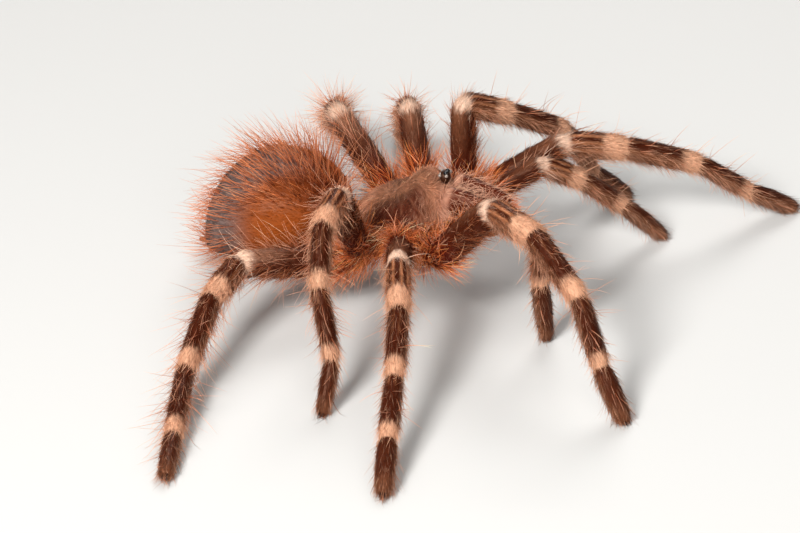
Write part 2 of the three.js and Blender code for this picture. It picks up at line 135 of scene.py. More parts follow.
BROWN = (0.06, 0.01, 0.003)
DEEP_RED = (0.08, 0.006, 0.002)
CREAM = (0.75, 0.405, 0.248)
# The knee's real pale band, made whiter than CREAM as painted light on the upturned knee.
LIT_KNEE = (0.88, 0.59, 0.43)
STRIPE = (0.56, 0.22, 0.1)
ASH = (0.3, 0.115, 0.055)
PALE = (0.68, 0.35, 0.22)
PAD = (0.52, 0.34, 0.25)
RUST = (0.33, 0.062, 0.016)
AMBER = (0.83, 0.33, 0.16)
EMBER = (0.4, 0.045, 0.008)
EMBER_TIP = (0.96, 0.27, 0.085)
STRAND = (0.96, 0.5, 0.32)
FLANK = (0.335, 0.072, 0.011)
SLATE = (0.19, 0.122, 0.105)
SHIELD = (0.42, 0.168, 0.088)
RIDGE = (0.15, 0.07, 0.04)
SHIELD_TIP = (0.78, 0.385, 0.24)
SADDLE = (0.075, 0.01, 0.004)
FACE = (0.82, 0.41, 0.265)
FACE_TIP = (0.95, 0.6, 0.44)
JAW = (0.11, 0.014, 0.004)
JAW_TIP = (0.9, 0.5, 0.34)
SOOT = (0.036, 0.011, 0.005)

# ---------- small vector helpers ----------


def unit(v):
    """Each vector over its own length."""
    return v / np.maximum(np.linalg.norm(v, axis=-1, keepdims=True), 1e-9)


def turn(angle, first, second):
    """The matrix that turns one axis, by number, towards another by an angle in degrees."""
    matrix = np.eye(3)
    matrix[first, first] = matrix[second, second] = math.cos(math.radians(angle))
    matrix[second, first] = math.sin(math.radians(angle))
    matrix[first, second] = -matrix[second, first]
    return matrix


def heading(azimuth, elevation, side):
    """Unit vector at an azimuth from +X towards the given side, and an elevation."""
    a, e = math.radians(azimuth), math.radians(elevation)
    return np.array([math.cos(e) * math.cos(a), side * math.cos(e) * math.sin(a), math.sin(e)])


def mix(a, b, t):
    """Colour a where t is 0, colour b where t is 1."""
    return np.asarray(a) * (1 - t[..., None]) + np.asarray(b) * t[..., None]


def smooth(low, high, x):
    """0 below low, 1 above high, with an S-curve between."""
    t = np.clip((x - low) / (high - low), 0, 1)
    return t * t * (3 - 2 * t)


# ---------- frames of the body ----------

PITCH = turn(PROSOMA_PITCH, 0, 2)


def from_prosoma(p, shift=(0.0, 0.0, 0.0)):
    """From the frame of the prosoma, pitched and raised, with a shift in the row frame."""
    return np.asarray(p) @ PITCH.T + np.array([0, 0, BODY_HEIGHT]) + np.asarray(shift)


def carapace_shape(p, clearance):
    """Low dome: squarish plan from a power of the ring, narrower towards the head, with a crown there.

    The crown is a gaussian ahead of the middle that fades as 1 - ring^6 towards the edge.
    """
    c = CARAPACE
    ring = np.maximum(np.hypot(p[..., 0], p[..., 1]), 1e-9)
    x, y = (ring ** c.fullness * np.sign(way) * np.abs(way / ring) ** c.squareness
            for way in (p[..., 0], p[..., 1]))
    taper = 1 - c.taper * np.maximum(0, x) ** 2
    ahead = x * c.length / 2 - c.head_centre
    head = np.exp(-(ahead ** 2) / c.head_spread - (y / c.head_width) ** 2)
    crown = c.head_rise * head * np.clip(1 - ring ** 6, 0, 1)
    upper = p[..., 2] > 0
    z = p[..., 2] * (np.where(upper, c.rise, c.below) + clearance) + np.where(upper, crown, 0)
    return np.stack([x * (c.length / 2 + clearance), y * taper * (c.width / 2 + clearance),
                     c.margin + z], -1)


def globe(u, v):
    """Unit sphere with its poles up and down: u runs from the top down, v around."""
    ring = np.sin(np.pi * u)
    return np.stack([ring * np.cos(2 * np.pi * v), ring * np.sin(2 * np.pi * v), np.cos(np.pi * u)], -1)


def barrel(u, v):
    """Unit sphere with its poles ahead and behind: u runs from the front back, v around."""
    return globe(u, v)[..., [2, 0, 1]]


def find_origin():
    """Where the prosoma's middle lies in the row frame: the carapace's node against its own formula."""
    steps = np.linspace(0, 1, 241)
    u, v = np.meshgrid(steps, steps, indexing="ij")
    own = from_prosoma(carapace_shape(globe(u, v), 0.0)).reshape(-1, 3)
    low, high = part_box("carapace")
    shift = (np.array(low) + np.array(high)) / 2 / MM - (own.min(0) + own.max(0)) / 2
    return np.array([shift[0], shift[1], 0.0])


ORIGIN = find_origin()


def prosoma_point(p):
    """From the frame of the prosoma to the row frame."""
    return from_prosoma(p, ORIGIN)


ABDOMEN_TURN = turn(ABDOMEN.yaw, 0, 1) @ turn(-ABDOMEN.pitch, 0, 2)
WAIST_POINT = prosoma_point((WAIST.x, 0, WAIST.z))
ABDOMEN_CENTRE = WAIST_POINT - ABDOMEN_TURN @ np.array([ABDOMEN.distance, 0, 0])


def abdomen_point(p):
    """From the frame of the abdomen to the row frame."""
    return np.asarray(p) @ ABDOMEN_TURN.T + ABDOMEN_CENTRE


# ---------- limbs: a centre line with rounded corners, and a tube round it ----------


def limb(name):
    """Joints, headings and half widths of one limb, from the coxa's inner end to the tip."""
    pair, side, azimuths, elevations = STANCE[name]
    row = PAIRS[pair]
    x, y, _ = row.socket
    reach = COXA_SHARE * math.hypot(x * COXA_SLANT, y)
    place = np.array(row.socket, float) * (1, side, 1)
    inner = place - heading(row.coxa_azimuth, 0, side) * reach
    socket = place + np.array(SHIFTS.get(name, (0, 0, 0))) * (1, side, 1)
    joints = [prosoma_point(inner), prosoma_point(socket)]
    lengths = [np.linalg.norm(socket - inner)] + [s[0] for s in row.segments[1:]]
    along = [unit(joints[1] - joints[0])]
    back = [PITCH @ np.array([0, 0, 1.0])]
    for i, azimuth in enumerate(azimuths):
        length = lengths[i + 1]
        if i < len(elevations):
            elevation = elevations[i]
        else:
            elevation = -math.degrees(math.asin(min(1, (joints[-1][2] - TOE_HEIGHT) / length)))
        along.append(heading(azimuth, elevation, side))
        back.append(heading(azimuth, elevation + 90, side))
        joints.append(joints[-1] + along[-1] * length)
    _, radii, deep = zip(*row.segments)
    return tube(joints, along, back, lengths, radii, deep, LEG_COAT, pair=pair,
                parts=PALP_PARTS if pair == "palp" else LEG_PARTS)


def tube(joints, along, back, lengths, radii, deep, coat, **facts):
    """The facts of a tube through joints, with its half widths less the depth of its coat."""
    start = np.concatenate([[0], np.cumsum(lengths)])
    radii = np.array(radii, float) - coat
    cap = radii[-1][2]
    return Facts(joints=np.array(joints), along=np.array(along), back=np.array(back), radii=radii, cap=cap,
                 lengths=np.array(lengths, float), deep=np.array(deep, float), start=start,
                 total=start[-1] + cap, **facts)


def along_limb(a, u):
    """Distance from the start, the segment's index, and the fraction of the segment passed."""
    s = u * a.total
    part = np.clip(np.searchsorted(a.start, s, side="right") - 1, 0, len(a.lengths) - 1)
    return s, part, (s - a.start[part]) / a.lengths[part]


def limb_point(a, u, v):
    """Point on a limb: u along it, v around it from its own outer side.

    The centre line is straight between joints, and a parabola joins the two headings near each one.
    A section is an ellipse. Its half width is a parabola through start, middle and end, pinched at
    each joint, and closes as a quarter ellipse at the root and a little more bluntly at the tip.
    """
    s, part, f = along_limb(a, u)
    centre = a.joints[part] + a.along[part] * (f * a.lengths[part])[..., None]
    ahead = a.along[part]
    up = a.back[part]
    for j in range(1, len(a.lengths)):
        reach = BEND_SHARE * min(a.lengths[j - 1], a.lengths[j]) + BEND_LEAST
        t = (s - a.start[j] + reach) / (2 * reach)
        near = ((t > 0) & (t < 1))[..., None]
        t = np.clip(t, 0, 1)[..., None]
        bent = a.joints[j] + reach * (t ** 2 * a.along[j] - (1 - t) ** 2 * a.along[j - 1])
        centre = np.where(near, bent, centre)
        ahead = np.where(near, (1 - t) * a.along[j - 1] + t * a.along[j], ahead)
        up = np.where(near, (1 - t) * a.back[j - 1] + t * a.back[j], up)
    ahead = unit(ahead)
    up = unit(up - ahead * np.sum(up * ahead, -1, keepdims=True))
    out = np.cross(ahead, up)
    first, middle, last = (a.radii[part, k] for k in range(3))
    g = np.clip(f, 0, 1)
    half = first * (1 - g) + last * g + (middle - (first + last) / 2) * 4 * g * (1 - g)
    for j in range(1, len(a.lengths)):
        half = half * (1 - PINCH * np.exp(-((s - a.start[j]) / PINCH_LENGTH) ** 2))
    left = np.clip((a.total - s) / (a.cap * TIP_LENGTH), 0, 1)
    half = half * np.sqrt(np.clip(1 - (1 - left) ** TIP_POWER, 0, 1))
    half = half * np.sqrt(np.clip(1 - (1 - np.clip(s / ROOT_LENGTH, 0, 1)) ** 2, 0, 1))
    angle = 2 * np.pi * v
    p = centre + out * (half * np.cos(angle))[..., None]
    p = p + up * (half * a.deep[part] * np.sin(angle))[..., None]
    p[..., 2] = np.maximum(p[..., 2], SOLE)
    return p


def single_tube(start, azimuth, elevation, side, length, radii, deep, tilt, place, coat):
    """A tube of one straight segment with a rounded far end, in the frame given by tilt and place."""
    ahead, up = (tilt @ heading(azimuth, elevation + more, side) for more in (0, 90))
    first = place(np.array(start, float))
    return tube([first, first + ahead * length], [ahead], [up], [length], [radii], [deep], coat)


# ---------- body surfaces, each a function of u and v ----------


def carapace_skin(u, v):
    """The dome of the carapace under its coat, with its pit, its rays and the groove behind the head.

    Each is a shallow gaussian trough: across the middle, along eight rays, and along a curved line.
    """
    p = carapace_shape(globe(u, v), -PROSOMA_COAT)
    x, y = p[..., 0] + PIT.back, p[..., 1]
    ray = np.abs(np.cos(4 * np.arctan2(np.abs(y), x) + RAYS.turn))
    far = np.hypot(x, y)
    dip = PIT.depth * np.exp(-((x / PIT.length) ** 2) - (y / PIT.width) ** 2)
    dip = dip + RAYS.depth * (1 - ray) ** 3 * smooth(*RAYS.start, far) * (1 - smooth(*RAYS.end, far))
    behind = (x - GROOVE.ahead - GROOVE.bow * y ** 2) / GROOVE.width
    dip = dip + GROOVE.depth * np.exp(-(behind ** 2)) * smooth(*GROOVE.start, np.abs(y))
    p[..., 2] -= dip * (globe(u, v)[..., 2] > 0.15)
    return prosoma_point(p)


def sternum_skin(u, v):
    """A flat ellipsoid between the coxae."""
    return prosoma_point(globe(u, v) * STERNUM.half + STERNUM.middle)


def tubercle_skin(u, v):
    """The low oval mound that carries the eyes."""
    t = TUBERCLE
    p = globe(u, v) * (t.length / 2 - 0.1, t.width / 2 - 0.2, t.rise)
    return prosoma_point(p + (t.x, 0, t.z - t.rise * t.sunk))


def abdomen_skin(u, v):
    """Egg, wider behind its middle, with a flatter underside and a rear end that hangs.

    It drops by the square of the share of the way back, less so underneath, and its lower rear corner
    is filled out by the product of the shares of the way back and down.
    """
    p = barrel(u, v)
    back, low = np.maximum(0, -p[..., 0]), np.maximum(0, -p[..., 2])
    fuller = 1 + ABDOMEN.corner * back * low
    coat = ABDOMEN_COAT
    x = p[..., 0] * fuller * (ABDOMEN.length / 2 - coat.ends) + ABDOMEN.tuck * back ** 2
    y = p[..., 1] * ((1 - ABDOMEN.swell * p[..., 0]) * ABDOMEN.width / 2 - coat.sides)
    deep = np.where(p[..., 2] > 0, ABDOMEN.above - coat.back, ABDOMEN.below - coat.belly)
    z = p[..., 2] * fuller * deep - ABDOMEN.droop * (1 - ABDOMEN.firm * low) * back ** 2
    q = abdomen_point(np.stack([x, y, z], -1))
    q[..., 2] = np.maximum(q[..., 2], BELLY)
    return q


def waist_skin(u, v):
    """A short round stalk between the two halves of the body."""
    p = barrel(1 - u, v) * WAIST.half
    p[..., 1] *= -1
    return prosoma_point(p + WAIST.middle)


def chelicera(side):
    """A deep, straight tube that starts inside the head."""
    c = CHELICERA
    start = (c.x - c.root_back, side * c.y, c.z + c.root_up)
    return single_tube(start, 0, c.pitch, side, c.length + c.root_length, c.radii, c.deep,
                       PITCH, prosoma_point, PROSOMA_COAT)


def spinneret(side):
    """A short tube at the rear end of the abdomen, on one side."""
    c = SPINNERET
    start = (c.inset - ABDOMEN.length / 2, side * c.y, c.z)
    return single_tube(start, c.azimuth, c.elevation, side, c.length, c.radii, 1.0,
                       ABDOMEN_TURN, abdomen_point, SPINNERET_COAT)


LIMBS = {name: limb(name) for name in STANCE}
JAWS = [chelicera(side) for side in (1, -1)]
SPINNERETS = [spinneret(side) for side in (1, -1)]


def on(a):
    """The surface of a tube as a function of u and v."""
    return lambda u, v: limb_point(a, u, v)


# ---------- meshes ----------


def add_object(name, data):
    """A new object in the scene."""
    obj = bpy.data.objects.new(name, data)
    bpy.context.scene.collection.objects.link(obj)
    return obj


def put_mesh(name, points, triangles, tints=None, uvs=None):
    """A smooth mesh object in metres from arrays of points in mm, triangles, tints and places."""
    mesh = bpy.data.meshes.new(name)
    mesh.vertices.add(len(points))
    mesh.vertices.foreach_set("co", (points * MM).astype(np.float32).ravel())
    mesh.loops.add(triangles.size)
    mesh.loops.foreach_set("vertex_index", triangles.astype(np.int32).ravel())
    mesh.polygons.add(len(triangles))
    mesh.polygons.foreach_set("loop_start", np.arange(0, triangles.size, 3, dtype=np.int32))
    mesh.polygons.foreach_set("use_smooth", np.ones(len(triangles), bool))
    if uvs is not None:
        layer = mesh.uv_layers.new(name="OFBake")
        layer.uv.foreach_set("vector", uvs[triangles.ravel()].astype(np.float32).ravel())
    if tints is not None:
        layer = mesh.color_attributes.new("tint", "FLOAT_COLOR", "POINT")
        rgba = np.concatenate([tints, np.ones((len(tints), 1))], 1)
        layer.data.foreach_set("color", rgba.astype(np.float32).ravel())
    mesh.update(calc_edges=True)
    mesh.validate()
    return add_object(name, mesh)


def grid_mesh(surface, around, down):
    """Closed mesh of a surface whose u runs between two poles and whose v goes round."""
    u, v = np.meshgrid(np.linspace(0, 1, down + 1)[1:-1], np.arange(around) / around, indexing="ij")
    body = surface(u, v).reshape(-1, 3)
    ends = surface(np.array([0.0, 1.0]), np.array([0.0, 0.0]))
    points = np.concatenate([body, ends])
    places = np.concatenate([np.stack([u, v], -1).reshape(-1, 2), [[0, 0], [1, 0]]])
    rows = down - 1
    i, j = np.meshgrid(np.arange(rows - 1), np.arange(around), indexing="ij")
    a, b = i * around + j, i * around + (j + 1) % around
    c, d = a + around, b + around
    halves = np.concatenate([np.stack(half, -1).reshape(-1, 3) for half in ((a, c, d), (a, d, b))])
    ring = np.arange(around)
    after = (ring + 1) % around
    last = (rows - 1) * around
    top = np.stack([np.full(around, len(body)), ring, after], -1)
    bottom = np.stack([np.full(around, len(body) + 1), last + after, last + ring], -1)
    return points, np.concatenate([halves, top, bottom]), places


def join(surfaces, around, down):
    """One set of points and triangles from several surfaces of equal grids."""
    points, faces, _ = zip(*(grid_mesh(surface, around, down) for surface in surfaces))
    return stack(points, faces)


def stack(points, faces):
    """Points and triangles of separate meshes as one, each mesh counting on from those before it."""
    counts = np.cumsum([0] + [len(p) for p in points])
    return np.concatenate(points), np.concatenate([f + count for f, count in zip(faces, counts)])


def place_piece(obj, material, nodes):
    """Give a piece its material, attach it to the root body and hide the nodes it stands for."""
    obj.data.materials.append(material)
    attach(obj, "root")
    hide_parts(*nodes)


# ---------- hairs ----------

AREA_SAMPLES = 20000
AREA_ROOF = 99.5                # percentile of the area at a place that counts as the largest
TAPER = 0.6                     # power by which a hair thins towards its tip
ROOT_DEPTH = 0.08               # how far a hair starts under the skin
SHORTEST, THINNEST = 0.4, 0.6   # least length and width, as shares of the mean
SWAY = 0.2
# The greens between which a marking turns pale, how bright pale hair is at root and tip, and how much
# less its brightness and its share of another colour come to.
PALENESS = (0.18, 0.4)
KEPT = (0.85, 1.1)
CALM_BRIGHT, CALM_SHARE = 0.6, 0.75


def frame_at(surface, u, v):
    """Point, outward normal, direction of growing u, and area of a unit of u and v."""
    e = 1e-3
    w = np.clip(u, e, 1 - e)
    du = surface(w + e, v) - surface(w - e, v)
    dv = surface(w, v + e) - surface(w, v - e)
    normal = np.cross(du, dv)
    area = np.linalg.norm(normal, axis=-1) / (4 * e * e)
    return surface(w, v), unit(normal), unit(du), area


def scatter(surface, per_mm2, wanted, rng):
    """Random roots, even over the area, and thinned by a weight from 0 to 1 at each place."""
    u, v = rng.random((2, AREA_SAMPLES))
    area = frame_at(surface, u, v)[3]
    total = area.mean()
    roof = np.percentile(area, AREA_ROOF)
    tries = int(per_mm2 * total * DENSITY)
    many = int(tries * roof / total)
    u, v = rng.random((2, many))
    point, normal, ahead, area = frame_at(surface, u, v)
    keep = rng.random(many) * roof < area * wanted(u, v)
    return u[keep], v[keep], point[keep], normal[keep], ahead[keep]


def rods(root, normal, lie, length, width, lift, curl, sway, steps):
    """Three-sided tapering rods, one for each root.

    A rod leaves its root at the angle lift above its lie, and its heading changes by curl towards
    the normal and by sway to one side on the way to its tip, so that its centre line is a parabola.
    """
    n = len(root)
    lie = unit(lie - normal * np.sum(lie * normal, -1, keepdims=True))
    side = np.cross(normal, lie)

    def course(angle, aside):
        return unit(np.cos(angle)[:, None] * lie + np.sin(angle)[:, None] * normal + aside[:, None] * side)

    first = course(lift, np.zeros(n))
    last = course(lift + curl, sway)
    points, times = [], []
    for k in range(steps):
        t = k / steps
        centre = root + length[:, None] * (t * first + 0.5 * t * t * (last - first))
        ahead = unit(first + t * (last - first))
        over = np.cross(ahead, side)
        radius = (width / 2 * (1 - t) ** TAPER)[:, None]
        for corner in range(3):
            angle = 2 * math.pi * corner / 3 + math.pi / 6
            points.append(centre + radius * (math.cos(angle) * side + math.sin(angle) * over))
            times.append(t)
    points.append(root + length[:, None] * (first + 0.5 * (last - first)))
    times.append(1.0)
    points = np.stack(points, 1)
    points[..., 2] = np.maximum(points[..., 2], HAIR_FLOOR)
    return points, np.array(times)


def rod_faces(steps):
    """Triangles of one rod: its base, its sides and its tip."""
    faces = [(0, 2, 1)]
    for k in range(steps - 1):
        for i in range(3):
            a, b = 3 * k + i, 3 * k + (i + 1) % 3
            faces += [(a, b, b + 3), (a, b + 3, a + 3)]
    top = 3 * (steps - 1)
    faces += [(top + i, top + (i + 1) % 3, 3 * steps) for i in range(3)]
    return np.array(faces)


def jitter(lie, normal, point, spread, swirl, rng):
    """Turn each lie by a random angle of size spread, and by one of size swirl that waves into locks."""
    x, y, z = point.T
    wave = np.sin(1.1 * x + 0.7 * y - 0.9 * z) + np.sin(0.6 * x - 1.3 * y + 1.2 * z + 2.0)
    angle = np.radians(rng.normal(0, spread, len(lie)) + swirl * 0.6 * wave)[:, None]
    return np.cos(angle) * lie + np.sin(angle) * np.cross(normal, lie)


class Coat:
    """Collects rods with their tints and bake places, and puts them into one mesh."""

    PATCH = 0.003

    def __init__(self, name, seed):
        """An empty coat whose random draws all come from one seed."""
        self.name = name
        self.rng = np.random.default_rng(seed)
        self.rows = []

    def grow(self, surface, marks, per_mm2, wanted, length, width, lift, curl, steps, spread=12, swirl=0,
             fall=0, root=0.8, tip=1.3, towards=(0, 0), other=(BROWN, BROWN), blend=0.1, vary=0.2,
             window=(0, 1), lie_of=None):
        """Grow one kind of hair on a surface: its number, lie, size and bend, and its colours.

        length, width, lift and curl are (mean, spread), and the mean lift may be a function of u. fall
        is how far the lie leans downwards. A hair has the surface's marking times root at its root and
        times tip at its tip, drawn by the shares towards to the two other colours. Its patch on the map
        is PATCH wide, at its root's place in the window, a strip given by its start and its height.
        """
        rng = self.rng
        u, v, point, normal, ahead = scatter(surface, per_mm2, wanted, rng)
        n = len(u)
        lie = ahead if lie_of is None else lie_of(point, ahead)
        rise = lift[0](u) if callable(lift[0]) else np.full(n, float(lift[0]))
        lie = jitter(unit(unit(lie) - np.array([0, 0, fall])), normal, point, spread, swirl, rng)
        lengths = np.maximum(length[0] * SHORTEST, rng.normal(*length, n))
        widths = np.maximum(width[0] * THINNEST, rng.normal(*width, n))
        lifts = np.radians(rng.normal(rise, lift[1]))
        curls = np.radians(rng.normal(*curl, n))
        sways = rng.normal(0, SWAY, n)
        root_point = point - normal * ROOT_DEPTH
        points, times = rods(root_point, normal, lie, lengths, widths, lifts, curls, sways, steps)
        faces = rod_faces(steps)[None] + np.arange(n)[:, None, None] * len(times)
        own = marks(u, v)
        pale = smooth(*PALENESS, own[:, 1])
        bright = np.exp(rng.normal(0, vary, n) * (1 - CALM_BRIGHT * pale))[:, None]
        share = np.clip(rng.normal(1, blend, n), 0, 2) * (1 - CALM_SHARE * pale)
        ends = []
        for scale, kept, part, colour in zip((root, tip), KEPT, towards, other):
            plain_end = own * (scale + (kept - scale) * pale)[:, None]
            ends.append(np.clip(mix(plain_end, colour, np.clip(share * part, 0, 1)) * bright, 0, 1))
        t = times[None, :, None]
        tints = ends[0][:, None] * (1 - t) + ends[1][:, None] * t
        across = np.append(np.tile([0.0, 1.0, 0.5], steps), 0.5)
        patch = np.stack([across, times * 0.9 + 0.1 * (across == 0.5)], -1) * self.PATCH
        places = np.stack([u, window[0] + v * window[1]], -1)[:, None] * (1 - 2 * self.PATCH) + patch
        self.rows.append([x.reshape(-1, x.shape[-1]) for x in (points, faces, tints, places)])

    def put(self, material, nodes):
        """Make the coat's mesh, give it its material and hide the nodes it stands for."""
        points, faces, tints, places = zip(*self.rows)
        obj = put_mesh(self.name, *stack(points, faces), np.concatenate(tints), np.concatenate(places))
        place_piece(obj, material, nodes)


# ---------- markings: one colour rule for a surface, for its skin and its hairs ----------

RIPPLES = ((0.5, 5, 23), (0.3, 11, -61), (0.2, 23, 140))   # height, waves round, radians along


def ripple(u, v):
    """Uneven edge from -1 to 1: three sine waves round the part and along it."""
    return sum(height * np.sin(waves * 2 * np.pi * v + along * u) for height, waves, along in RIPPLES)


def paint(tint, *layers):
    """Colours laid over a tint one after the other, each by its share from 0 to 1."""
    for colour, share in layers:
        tint = mix(tint, colour, share)
    return tint


def plain(colour):
    """The same colour all over, as a function of u and v."""
    return lambda u, v: np.zeros(u.shape + (3,)) + colour


def off_back(v):
    """Degrees round a part from the line along its back."""
    return np.abs((v + 0.25) % 1 - 0.5) * 360


# Where the pale band of each part starts, its colour, and half the width of its edge.
# The femur's band takes the brightened knee colour: painted light on the upturned knee.
BANDS = {"femur": (0.935, LIT_KNEE), "patella": (0.60, CREAM), "tibia": (0.745, CREAM),
         "metatarsus": (0.775, CREAM)}
EDGE = 0.04
# Pale fuzz towards a hind leg's knee, and how much earlier its femur's band starts.
FUZZ = {"3": 0.08, "4": 0.22}
HIND_BAND = 0.025
HIND_LINES = 0.35       # share of the lines' strength that the last pair has
# Pale lines: part, degrees from the back, width, start, end, strength.
LINES = (("patella", 22, 7.5, 0.06, 0.66, 0.85), ("patella", 58, 8.0, 0.02, 0.66, 0.7),
         ("patella", 92, 9.0, 0.0, 0.66, 0.6), ("tibia", 20, 4.0, 0.03, 0.5, 0.35),
         ("tibia", 75, 6.0, -0.1, 0.4, 0.3), ("metatarsus", 22, 5.0, -0.05, 0.24, 0.45))


def limb_marks(a, u, v):
    """Brown with a dark red base, a cream band at the end of each part but the last, and pale lines.

    A band is an S-curve of the fraction passed. A line is exp(-d^4) of the degrees from its place.
    """
    _, part, f = along_limb(a, u)
    names = np.array(a.parts)[part]
    femur, patella, coxa, tarsus = (names == name for name in ("femur", "patella", "coxa", "tarsus"))
    off = off_back(v)
    edge = f + (0.02 + 0.03 * patella) * ripple(u, 2 * v)
    fuzz = FUZZ.get(a.pair, 0.0)
    tint = paint(plain(BROWN)(u, v),
                 # Grey over the femur's upper side: a painted sheen along its top, with real paler hair
                 # towards the knee.
                 (ASH, femur * (0.15 + 0.3 * smooth(0.5, 0.9, f)) * (1 - smooth(20, 70, off))),
                 (DEEP_RED, femur * (1 - smooth(0.15, 0.55, f))),
                 (ASH, ~(femur | coxa) * (0.35 + 0.5 * f) * smooth(45, 100, off)),
                 (DEEP_RED, coxa * 0.8),
                 (PALE, fuzz * (1 - smooth(50, 90, off)) * femur * smooth(0.5, 0.9, f)),
                 (ASH, tarsus * (0.05 + 0.35 * smooth(0.6, 1.0, f))))
    for name, angle, width, start, end, strength in LINES:
        line = np.exp(-(((off - angle) / width) ** 4)) * smooth(start - EDGE, start + EDGE, f)
        faint = strength * (HIND_LINES if a.pair == "4" else 1)
        tint = mix(tint, STRIPE, (names == name) * faint * line * (1 - smooth(end - 0.15, end, f)))
    # Pale rim at the patella's start in the brightened knee colour: painted light on the upturned knee.
    tint = mix(tint, LIT_KNEE, patella * 0.8 * (1 - smooth(0.03, 0.1, f)))
    for name, (start, colour) in BANDS.items():
        start = start - HIND_BAND * (name == "femur" and fuzz > 0)
        tint = mix(tint, colour, (names == name) * smooth(start - EDGE, start + EDGE, edge))
    return tint


def abdomen_marks(u, v):
    """Orange-brown sides darker towards the top as painted shade, a slate field along the back and over the
    rear end, and a darker belly.
    """
    off = off_back(v) + 5 * ripple(u, v)
    ahead = 0.12 * (1 - smooth(20, 60, off)) - 0.1 * smooth(90, 130, off)
    return paint(plain(FLANK)(u, v),
                 # Upper flank darker: painted shade that leaves the middle of the flank looking lit, over
                 # the back's real darker red.
                 (SADDLE, 0.55 * (1 - smooth(35, 85, off))),
                 (SADDLE, 0.7 * (1 - smooth(0.12, 0.3, u))),
                 (SLATE, 0.7 * (1 - smooth(12, 32, off)) * smooth(0.2, 0.4, u)),
                 (SLATE, smooth(0.41, 0.58, u + ahead)),
                 (BROWN, 0.8 * smooth(125, 155, off)))


def saddle(u, v):
    """Share, from 0 to 1, of the dark red patch on each side of the middle of the carapace."""
    p = globe(u, v)
    aside = np.abs(p[..., 1])
    middle = np.exp(-(((p[..., 0] - 0.08) / 0.42) ** 4))
    return middle * smooth(0.15, 0.36, aside) * (1 - smooth(0.86, 1.0, aside))


def carapace_marks(u, v):
    """Pinkish grey-brown with fine streaks and a dark red saddle on each side, and a paler rim."""
    ahead = globe(u, v)[..., 0]
    way = 2 * np.pi * v
    streak = np.sin(37 * way + 6 * np.sin(9 * u)) + np.sin(61 * way - 8 * np.sin(7 * u) + 1.7)
    rays = 0.5 + 0.5 * np.cos(8 * way + 0.6)
    tint = paint(plain(SHIELD)(u, v),
                 (SADDLE, 0.95 * np.clip(saddle(u, v) * (1.2 + 0.35 * streak), 0, 1)),
                 (SADDLE, 0.45 * rays * smooth(0.1, 0.25, u)),
                 (RIDGE, 0.5 * (1 - smooth(0.10, 0.20, u))))
    return paint(tint * (1 + 0.15 * streak)[..., None],
                 (FACE, 0.6 * smooth(0.6, 0.85, ahead)),
                 (SHIELD_TIP, 0.35 * smooth(0.35, 0.6, -ahead)),
                 (SHIELD_TIP, 0.4 * smooth(0.42, 0.5, u)))


def jaw_marks(u, v):
    """Red-brown in front, dark beneath and towards the fang, pale behind where it meets the head."""
    tint = mix(plain(JAW)(u, v), SOOT, 0.7 * smooth(90, 150, off_back(v)))
    return mix(tint, FACE, 0.6 * (1 - smooth(0.12, 0.22, u)))


def marks_of(a):
    """The markings of one limb as a function of u and v."""
    return lambda u, v: limb_marks(a, u, v)


# ---------- materials ----------


SHINE = (1.0, 0.60, 0.42, 1)     # the warm colour of the light that skin and hair give back
GRAIN_SCALE, GRAIN_DETAIL, RELIEF_DEPTH = 900.0, 3.0, 0.0003


def set_inputs(node, **values):
    """Set a node's inputs, each named with _ for a space."""
    for name, value in values.items():
        node.inputs[name.replace("_", " ")].default_value = value


def tinted(name, roughness, specular, grain=0.0, relief=0.0):
    """A material that takes its colour from the piece's own tint, with a fine grain and relief."""
    material = bpy.data.materials.new(name)
    material.use_nodes = True
    nodes, links = material.node_tree.nodes, material.node_tree.links
    shader = nodes["Principled BSDF"]
    set_inputs(shader, Roughness=roughness, Specular_IOR_Level=specular, Specular_Tint=SHINE)
    tint = nodes.new("ShaderNodeAttribute")
    tint.attribute_name = "tint"
    colour = tint.outputs["Color"]
    if grain:
        place = nodes.new("ShaderNodeTexCoord")
        noise = nodes.new("ShaderNodeTexNoise")
        set_inputs(noise, Scale=GRAIN_SCALE, Detail=GRAIN_DETAIL)
        links.new(place.outputs["Object"], noise.inputs["Vector"])
        ramp = nodes.new("ShaderNodeMapRange")
        set_inputs(ramp, To_Min=1 - grain, To_Max=1 + grain)
        links.new(noise.outputs["Fac"], ramp.inputs["Value"])
        times = nodes.new("ShaderNodeVectorMath")
        times.operation = "SCALE"
        links.new(colour, times.inputs[0])
        links.new(ramp.outputs["Result"], times.inputs["Scale"])
        colour = times.outputs["Vector"]
        bump = nodes.new("ShaderNodeBump")
        set_inputs(bump, Strength=relief, Distance=RELIEF_DEPTH)
        links.new(noise.outputs["Fac"], bump.inputs["Height"])
        links.new(bump.outputs["Normal"], shader.inputs["Normal"])
    links.new(colour, shader.inputs["Base Color"])
    return material


def glossy(name, colour, roughness):
    """A material of one colour, for what is too small or too plain to have a grain."""
    material = bpy.data.materials.new(name)
    material.use_nodes = True
    set_inputs(material.node_tree.nodes["Principled BSDF"], Base_Color=(*colour, 1), Roughness=roughness)
    return material


SKIN = tinted("tarantula_skin", 0.40, 0.22, grain=0.3, relief=0.5)
LEG_HAIR = tinted("leg_hair", 0.40, 0.09)
ABDOMEN_HAIR = tinted("abdomen_hair", 0.42, 0.10)
CARAPACE_HAIR = tinted("carapace_hair", 0.35, 0.10)
JAW_HAIR = tinted("jaw_hair", 0.40, 0.15)
EYE_BLACK = glossy("eye_black", (0.004, 0.004, 0.005), 0.06)
EYE_PEARL = glossy("eye_pearl", (0.240, 0.190, 0.160), 0.10)
FANG_BLACK = glossy("fang_black", (0.012, 0.005, 0.004), 0.18)

# ---------- the skin ----------

SKIN_SHADE = 0.7        # the skin's colour as a share of its marking


